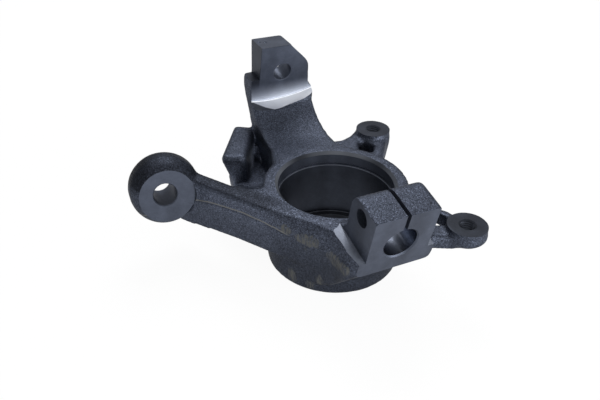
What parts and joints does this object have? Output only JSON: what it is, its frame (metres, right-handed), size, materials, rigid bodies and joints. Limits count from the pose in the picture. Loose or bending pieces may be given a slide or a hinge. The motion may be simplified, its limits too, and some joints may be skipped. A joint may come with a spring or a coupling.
{
  "type": "steering knuckle",
  "caption": "Cast iron front steering knuckle with a bored bearing ring, a steering arm with tie-rod boss, a ball-joint pinch clamp, caliper ears and an upper strut tab.",
  "frame": {"origin": "Centre of the bearing ring's outboard face, which is flat on the bench and on the wheel axis", "axes": "+Z along the wheel axis, pointing inboard; +Y towards the upper tab, up on the car; +X along the car, so the steering arm reaches towards -X"},
  "size_m": [0.1882, 0.1828, 0.1119],
  "materials": {
    "cast_iron": "raw sand-cast, dark blue-grey, with machined seats"
  },
  "bodies": {
    "root": {"knuckle_casting": "cast_iron"}
  },
  "joints": []
}
